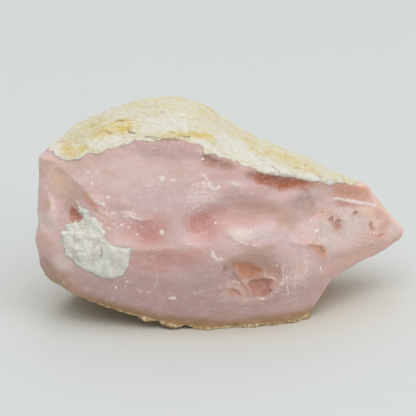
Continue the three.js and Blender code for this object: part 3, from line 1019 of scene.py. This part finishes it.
class Nodes:
    """Short names for the shader nodes of one material."""

    def __init__(self, tree):
        self.tree = tree
        self.place = self.node("TexCoord").outputs["Object"]

    def node(self, kind, settings=None, **inputs):
        made = self.tree.nodes.new("ShaderNode" + kind)
        for name, value in (settings or {}).items():
            setattr(made, name, value)
        for name, value in inputs.items():
            self.feed(made.inputs[name.replace("_", " ")], value)
        return made

    def feed(self, socket, value):
        if isinstance(value, bpy.types.NodeSocket):
            self.tree.links.new(value, socket)
        else:
            socket.default_value = value

    def mask(self, name):
        return self.node("Attribute", {"attribute_name": name}).outputs["Fac"]

    def grain(self, size, detail=4.0, roughness=0.6, stretch=None, distortion=0.0):
        """Noise whose lumps are about that many millimetres across."""
        at = self.place
        if stretch:
            at = self.node("Mapping", Vector=at, Scale=stretch).outputs["Vector"]
        made = self.node("TexNoise", Vector=at, Scale=1 / (size * MM), Detail=detail, Roughness=roughness,
                         Distortion=distortion)
        return made.outputs["Fac"]

    def spread(self, value, low, high, to_low=0.0, to_high=1.0):
        """A value from low to high, spread smoothly over another range."""
        made = self.node("MapRange", {"interpolation_type": "SMOOTHSTEP"}, Value=value, From_Min=low,
                         From_Max=high, To_Min=to_low, To_Max=to_high)
        return made.outputs["Result"]

    def calc(self, operation, *values):
        made = self.node("Math", {"operation": operation})
        for socket, value in zip(made.inputs, values):
            self.feed(socket, value)
        return made.outputs[0]

    def mix(self, share, one, other):
        """One colour where the share is 0 and the other where it is 1."""
        made = self.node("Mix", {"data_type": "RGBA"})
        self.feed(made.inputs[0], share)
        self.feed(made.inputs[6], one)
        self.feed(made.inputs[7], other)
        return made.outputs[2]

    def tint(self, colour, pattern, strength, other):
        """A colour tinted with another one where a pattern of 0 to 1 shows."""
        return self.mix(self.calc("MULTIPLY", pattern, strength), colour, other)

    def edged(self, name, wobble, soft=0.12):
        """1 inside a part and 0 outside it, with a finely uneven edge."""
        rough = self.calc("MULTIPLY_ADD", self.grain(0.6), wobble, -wobble / 2)
        return self.spread(self.calc("ADD", self.mask(name), rough), -soft, soft)


def opal_colour(nodes):
    """Its washes, mottled and layered, tan above the crust and pale where bruised."""
    colour = nodes.node("Attribute", {"attribute_name": "wash"}).outputs["Color"]
    colour = nodes.tint(colour, nodes.spread(nodes.grain(1.4), 0.44, 0.7), 0.2, srgb(224, 200, 195))
    shade = nodes.spread(nodes.grain(2.6, 3.0, 0.55, (0.6, 1.0, 1.0)), 0.42, 0.66)
    colour = nodes.tint(colour, shade, 0.16, srgb(186, 142, 137))
    layers = nodes.grain(3.2, stretch=(0.3, 0.8, 1.2), distortion=1.2)
    colour = nodes.tint(colour, nodes.spread(layers, 0.5, 0.66), 0.26, srgb(204, 152, 142))
    colour = nodes.tint(colour, nodes.spread(layers, 0.46, 0.32), 0.26, srgb(228, 208, 202))
    colour = nodes.tint(colour, nodes.mask("glow"), 0.92, srgb(154, 120, 80))
    return nodes.mix(bruised(nodes), colour, srgb(238, 226, 221))


def bruised(nodes):
    """How strongly the opal's bruises show: those drawn on it, small specks and drawn-out scratches."""
    drawn = nodes.calc("ADD", nodes.mask("pale"), nodes.grain(0.5, roughness=0.65))
    drawn = nodes.calc("MULTIPLY", nodes.spread(drawn, 0.72, 1.15), 0.85)
    specks = nodes.calc("MULTIPLY_ADD", nodes.mask("pepper"), 0.16, nodes.grain(0.55))
    specks = nodes.calc("MULTIPLY", nodes.spread(specks, 0.66, 0.8), 0.6)
    long_grain = nodes.grain(1.0, 5.0, 0.7, (0.55, 1.0, 1.2), 1.0)
    scratches = nodes.calc("MULTIPLY_ADD", nodes.mask("pepper"), 0.12, long_grain)
    scratches = nodes.calc("MULTIPLY", nodes.spread(scratches, 0.58, 0.76), 0.5)
    return nodes.calc("MAXIMUM", nodes.calc("MAXIMUM", drawn, specks), scratches)


def clay_colour(nodes):
    """Off-white and chalky."""
    return nodes.mix(nodes.spread(nodes.grain(1.8), 0.4, 0.65), srgb(232, 231, 224), srgb(214, 209, 194))


def crust_colour(nodes):
    """Cream and tan flakes."""
    flakes = nodes.spread(nodes.grain(0.8, roughness=0.65), 0.38, 0.66)
    return nodes.mix(flakes, srgb(172, 138, 96), srgb(224, 208, 170))


def rind_colour(nodes):
    """Cream, ochre in streaks along the stone, chalky white in places and where its front edge is broken."""
    streaks = nodes.spread(nodes.grain(1.7, 5.0, 0.65, (0.5, 1.0, 1.0), 0.4), 0.38, 0.62)
    ochre_part = nodes.mix(streaks, srgb(216, 203, 156), srgb(210, 185, 112))
    cream_part = nodes.mix(streaks, srgb(215, 211, 196), srgb(211, 202, 170))
    rind = nodes.mix(nodes.mask("ochre"), cream_part, ochre_part)
    powder = nodes.grain(1.1, 6.0, 0.7, (0.7, 1.0, 1.0), 0.5)
    chalk = nodes.calc("MULTIPLY_ADD", nodes.mask("chalk"), 0.26, powder)
    rind = nodes.tint(rind, nodes.spread(chalk, 0.52, 0.66), 0.85, srgb(221, 219, 210))
    golden = nodes.spread(nodes.grain(0.7, 5.0, 0.7, (0.6, 1.0, 1.0), 0.3), 0.52, 0.62)
    more_golden = nodes.calc("MULTIPLY_ADD", nodes.mask("ochre"), 0.4, 0.2)
    rind = nodes.tint(rind, golden, more_golden, srgb(208, 184, 118))
    pitted = nodes.spread(nodes.grain(0.5, 6.0, 0.75, (0.5, 1.0, 1.0), 0.5), 0.55, 0.68)
    rind = nodes.tint(rind, pitted, 0.55, srgb(170, 148, 104))
    inwards = nodes.calc("MULTIPLY_ADD", nodes.grain(2.8), 3.0, nodes.mask("rind"))
    return nodes.tint(rind, nodes.spread(inwards, 1.75, 1.3), 0.8, srgb(226, 224, 217))


def surface_bump(nodes, dull):
    """Fine grain everywhere, rougher on the weathered parts."""
    smooth_grain = nodes.calc("MULTIPLY", nodes.grain(0.8, roughness=0.55), 0.03)
    rough_grain = nodes.calc("MULTIPLY", nodes.calc("MULTIPLY", nodes.grain(0.6, 5.0, 0.7), 0.34), dull)
    height = nodes.calc("MULTIPLY", nodes.calc("ADD", smooth_grain, rough_grain), MM)
    return nodes.node("Bump", Height=height, Distance=1.0, Strength=1.0).outputs["Normal"]


WEATHERED_ROUGHNESS = 0.88
WAXY_ROUGHNESS = (0.46, 0.62)
SHADER_SETTINGS = {
    "Subsurface Weight": 0.25,
    "Subsurface Radius": (1.0, 0.75, 0.7),
    "Subsurface Scale": 1.2 * MM,
    "IOR": 1.45,
    "Specular IOR Level": 0.32,
}


def make_opal_material():
    material = bpy.data.materials.new("opal")
    material.use_nodes = True
    nodes = Nodes(material.node_tree)
    on_clay = nodes.edged("clay", 0.4)
    on_crust = nodes.edged("crust", 0.4)
    on_rind = nodes.edged("rind", 0.25)
    colour = nodes.mix(on_clay, opal_colour(nodes), clay_colour(nodes))
    colour = nodes.mix(on_crust, colour, crust_colour(nodes))
    colour = nodes.mix(on_rind, colour, rind_colour(nodes))
    broken_line = nodes.spread(nodes.grain(0.6, 3.0), 0.36, 0.56, 0.25, 1.0)
    # Dark brown in the cracks and slits, and painted shadow along the rind's front edge.
    colour = nodes.tint(colour, nodes.mask("crack_and_shadow"), broken_line, srgb(134, 102, 64))

    dull = nodes.calc("MAXIMUM", nodes.calc("MAXIMUM", on_clay, on_rind), on_crust)
    waxy = nodes.spread(nodes.grain(1.5), 0.3, 0.7, *WAXY_ROUGHNESS)
    roughness = nodes.calc("MULTIPLY_ADD", dull, nodes.calc("SUBTRACT", WEATHERED_ROUGHNESS, waxy), waxy)

    shader = material.node_tree.nodes["Principled BSDF"]
    nodes.feed(shader.inputs["Base Color"], colour)
    nodes.feed(shader.inputs["Roughness"], roughness)
    nodes.feed(shader.inputs["Normal"], surface_bump(nodes, dull))
    for name, value in SHADER_SETTINGS.items():
        shader.inputs[name].default_value = value
    return material


# ---------------- build

def thinned(mesh, triangles):
    """The mesh with at most about that many triangles."""
    ratio = min(1, triangles / sum(len(face.vertices) - 2 for face in mesh.polygons))
    return with_modifier(mesh, "DECIMATE", ratio=ratio, use_collapse_triangulate=True)


def build_opal():
    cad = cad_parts[STONE].data
    mesh = fine_mesh(cad)
    surface = Surface(mesh, cad)
    shape(mesh, surface)
    paint(mesh, surface)
    mesh = thinned(mesh, FINE_TRIANGLES)
    points = np.clip(vectors(mesh.vertices, "co"), 0, SIZE)
    mesh.vertices.foreach_set("co", (points * MM + np.array(CAD_LOW)).ravel())
    mesh.polygons.foreach_set("use_smooth", np.ones(len(mesh.polygons), dtype=bool))
    mesh.update()
    mesh.materials.clear()
    mesh.materials.append(make_opal_material())
    stone = bpy.data.objects.new("opal", mesh)
    bpy.context.scene.collection.objects.link(stone)
    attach(stone, "root")
    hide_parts(STONE)


build_opal()
